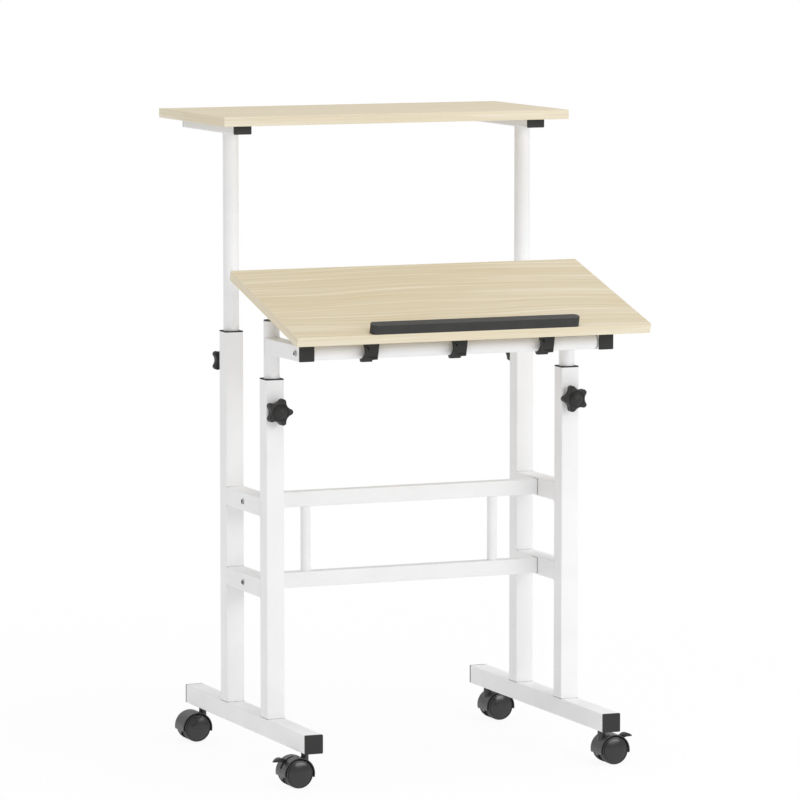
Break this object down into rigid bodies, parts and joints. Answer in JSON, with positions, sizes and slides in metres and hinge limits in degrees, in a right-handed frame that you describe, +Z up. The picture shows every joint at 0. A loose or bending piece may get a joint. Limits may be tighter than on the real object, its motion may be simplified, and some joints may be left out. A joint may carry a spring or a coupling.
{
  "type": "mobile standing desk",
  "caption": "Standing desk on swivel casters: a tilting desktop with a laptop stop and an upper shelf, each on clamped telescopic posts in a steel frame.",
  "frame": {"origin": "centre of the outline's bounding box in plan, on the floor", "axes": "+X to the right of a person who stands at the desk, +Y away from that person, +Z up"},
  "size_m": [0.6204, 0.6184, 1.0365],
  "materials": {
    "white_steel": "satin powder coat",
    "maple_board": "light maple laminate, satin",
    "black_plastic": "fine matte grain",
    "wheel_plastic": "smooth, semi-gloss",
    "bright_steel": "zinc plated"
  },
  "bodies": {
    "base": {"foot_rail_left": "white_steel", "foot_rail_right": "white_steel", "foot_end_caps": "black_plastic", "caster_sockets": "bright_steel", "column_front_left": "white_steel", "column_front_right": "white_steel", "column_rear_left": "white_steel", "column_rear_right": "white_steel", "side_rails": "white_steel", "upper_crossbar": "white_steel", "lower_crossbar": "white_steel", "crossbar_struts": "white_steel", "crossbar_bolts": "bright_steel", "crossbar_nuts": "bright_steel", "column_bushes": "black_plastic", "knob_nuts": "bright_steel"},
    "desk_frame": {"desk_post_left": "white_steel", "desk_post_right": "white_steel", "post_caps": "black_plastic", "arm_left": "white_steel", "arm_right": "white_steel", "arm_end_caps": "black_plastic", "pivot_washers": "bright_steel"},
    "tilting_desktop": {"desktop": "maple_board", "pivot_bar": "white_steel", "pivot_inserts": "bright_steel", "pivot_bolts": "bright_steel", "desk_supports": "white_steel", "desktop_screws": "bright_steel", "laptop_stop": "black_plastic", "hooks": "black_plastic"},
    "shelf_frame": {"shelf": "maple_board", "shelf_post_left": "white_steel", "shelf_post_right": "white_steel", "shelf_bracket_left": "white_steel", "shelf_bracket_right": "white_steel", "bracket_end_caps": "black_plastic", "shelf_screws": "bright_steel"},
    "clamp_knob_front_left": {"knob_front_left": "black_plastic"},
    "clamp_knob_front_right": {"knob_front_right": "black_plastic"},
    "clamp_knob_rear_left": {"knob_rear_left": "black_plastic"},
    "clamp_knob_rear_right": {"knob_rear_right": "black_plastic"},
    "swivel_front_left": {"caster_hood_front_left": "black_plastic", "caster_pins_front_left": "bright_steel"},
    "near_wheel_front_left": {"wheel_near_front_left": "wheel_plastic"},
    "far_wheel_front_left": {"wheel_far_front_left": "wheel_plastic"},
    "brake_left": {"brake_lever_left": "black_plastic"},
    "swivel_front_right": {"caster_hood_front_right": "black_plastic", "caster_pins_front_right": "bright_steel"},
    "near_wheel_front_right": {"wheel_near_front_right": "wheel_plastic"},
    "far_wheel_front_right": {"wheel_far_front_right": "wheel_plastic"},
    "brake_right": {"brake_lever_right": "black_plastic"},
    "swivel_rear_left": {"caster_hood_rear_left": "black_plastic", "caster_pins_rear_left": "bright_steel"},
    "near_wheel_rear_left": {"wheel_near_rear_left": "wheel_plastic"},
    "far_wheel_rear_left": {"wheel_far_rear_left": "wheel_plastic"},
    "swivel_rear_right": {"caster_hood_rear_right": "black_plastic", "caster_pins_rear_right": "bright_steel"},
    "near_wheel_rear_right": {"wheel_near_rear_right": "wheel_plastic"},
    "far_wheel_rear_right": {"wheel_far_rear_right": "wheel_plastic"}
  },
  "joints": [
    {"name": "desk_lift", "type": "slide", "parent": "base", "child": "desk_frame", "axis": [0, 0, 1], "range_m": [-0.035, 0.3]},
    {"name": "shelf_lift", "type": "slide", "parent": "base", "child": "shelf_frame", "axis": [0, 0, 1], "range_m": [-0.3, 0.15]},
    {"name": "desk_tilt", "type": "hinge", "parent": "desk_frame", "child": "tilting_desktop", "pos_m": [0, -0.21583, 0.681], "axis": [1, 0, 0], "range_deg": [-15.7, 29.3]},
    {"name": "knob_front_left_turn", "type": "hinge", "parent": "base", "child": "clamp_knob_front_left", "pos_m": [-0.2557, -0.09633, 0.578], "axis": [0, -1, 0], "range_deg": [-15, 360]},
    {"name": "knob_front_right_turn", "type": "hinge", "parent": "base", "child": "clamp_knob_front_right", "pos_m": [0.2557, -0.09633, 0.578], "axis": [0, -1, 0], "range_deg": [-15, 360]},
    {"name": "knob_rear_left_turn", "type": "hinge", "parent": "base", "child": "clamp_knob_rear_left", "pos_m": [-0.2557, 0.11167, 0.638], "axis": [0, 1, 0], "range_deg": [-15, 360]},
    {"name": "knob_rear_right_turn", "type": "hinge", "parent": "base", "child": "clamp_knob_rear_right", "pos_m": [0.2557, 0.11167, 0.638], "axis": [0, 1, 0], "range_deg": [-15, 360]},
    {"name": "swivel_front_left_turn", "type": "hinge", "parent": "base", "child": "swivel_front_left", "pos_m": [-0.2557, -0.21933, 0.045], "axis": [0, 0, 1], "continuous": true},
    {"name": "near_wheel_front_left_spin", "type": "hinge", "parent": "swivel_front_left", "child": "near_wheel_front_left", "pos_m": [-0.2717, -0.21933, 0.023], "axis": [0, 1, 0], "continuous": true},
    {"name": "far_wheel_front_left_spin", "type": "hinge", "parent": "swivel_front_left", "child": "far_wheel_front_left", "pos_m": [-0.2717, -0.21933, 0.023], "axis": [0, 1, 0], "continuous": true},
    {"name": "brake_left_press", "type": "hinge", "parent": "swivel_front_left", "child": "brake_left", "pos_m": [-0.2797, -0.21933, 0.036], "axis": [0, -1, 0], "range_deg": [0, 10]},
    {"name": "swivel_front_right_turn", "type": "hinge", "parent": "base", "child": "swivel_front_right", "pos_m": [0.2557, -0.21933, 0.045], "axis": [0, 0, 1], "continuous": true},
    {"name": "near_wheel_front_right_spin", "type": "hinge", "parent": "swivel_front_right", "child": "near_wheel_front_right", "pos_m": [0.2717, -0.21933, 0.023], "axis": [0, 1, 0], "continuous": true},
    {"name": "far_wheel_front_right_spin", "type": "hinge", "parent": "swivel_front_right", "child": "far_wheel_front_right", "pos_m": [0.2717, -0.21933, 0.023], "axis": [0, 1, 0], "continuous": true},
    {"name": "brake_right_press", "type": "hinge", "parent": "swivel_front_right", "child": "brake_right", "pos_m": [0.2797, -0.21933, 0.036], "axis": [0, 1, 0], "range_deg": [0, 10]},
    {"name": "swivel_rear_left_turn", "type": "hinge", "parent": "base", "child": "swivel_rear_left", "pos_m": [-0.2557, 0.23467, 0.045], "axis": [0, 0, 1], "continuous": true},
    {"name": "near_wheel_rear_left_spin", "type": "hinge", "parent": "swivel_rear_left", "child": "near_wheel_rear_left", "pos_m": [-0.2717, 0.23467, 0.023], "axis": [0, 1, 0], "continuous": true},
    {"name": "far_wheel_rear_left_spin", "type": "hinge", "parent": "swivel_rear_left", "child": "far_wheel_rear_left", "pos_m": [-0.2717, 0.23467, 0.023], "axis": [0, 1, 0], "continuous": true},
    {"name": "swivel_rear_right_turn", "type": "hinge", "parent": "base", "child": "swivel_rear_right", "pos_m": [0.2557, 0.23467, 0.045], "axis": [0, 0, 1], "continuous": true},
    {"name": "near_wheel_rear_right_spin", "type": "hinge", "parent": "swivel_rear_right", "child": "near_wheel_rear_right", "pos_m": [0.2717, 0.23467, 0.023], "axis": [0, 1, 0], "continuous": true},
    {"name": "far_wheel_rear_right_spin", "type": "hinge", "parent": "swivel_rear_right", "child": "far_wheel_rear_right", "pos_m": [0.2717, 0.23467, 0.023], "axis": [0, 1, 0], "continuous": true}
  ]
}
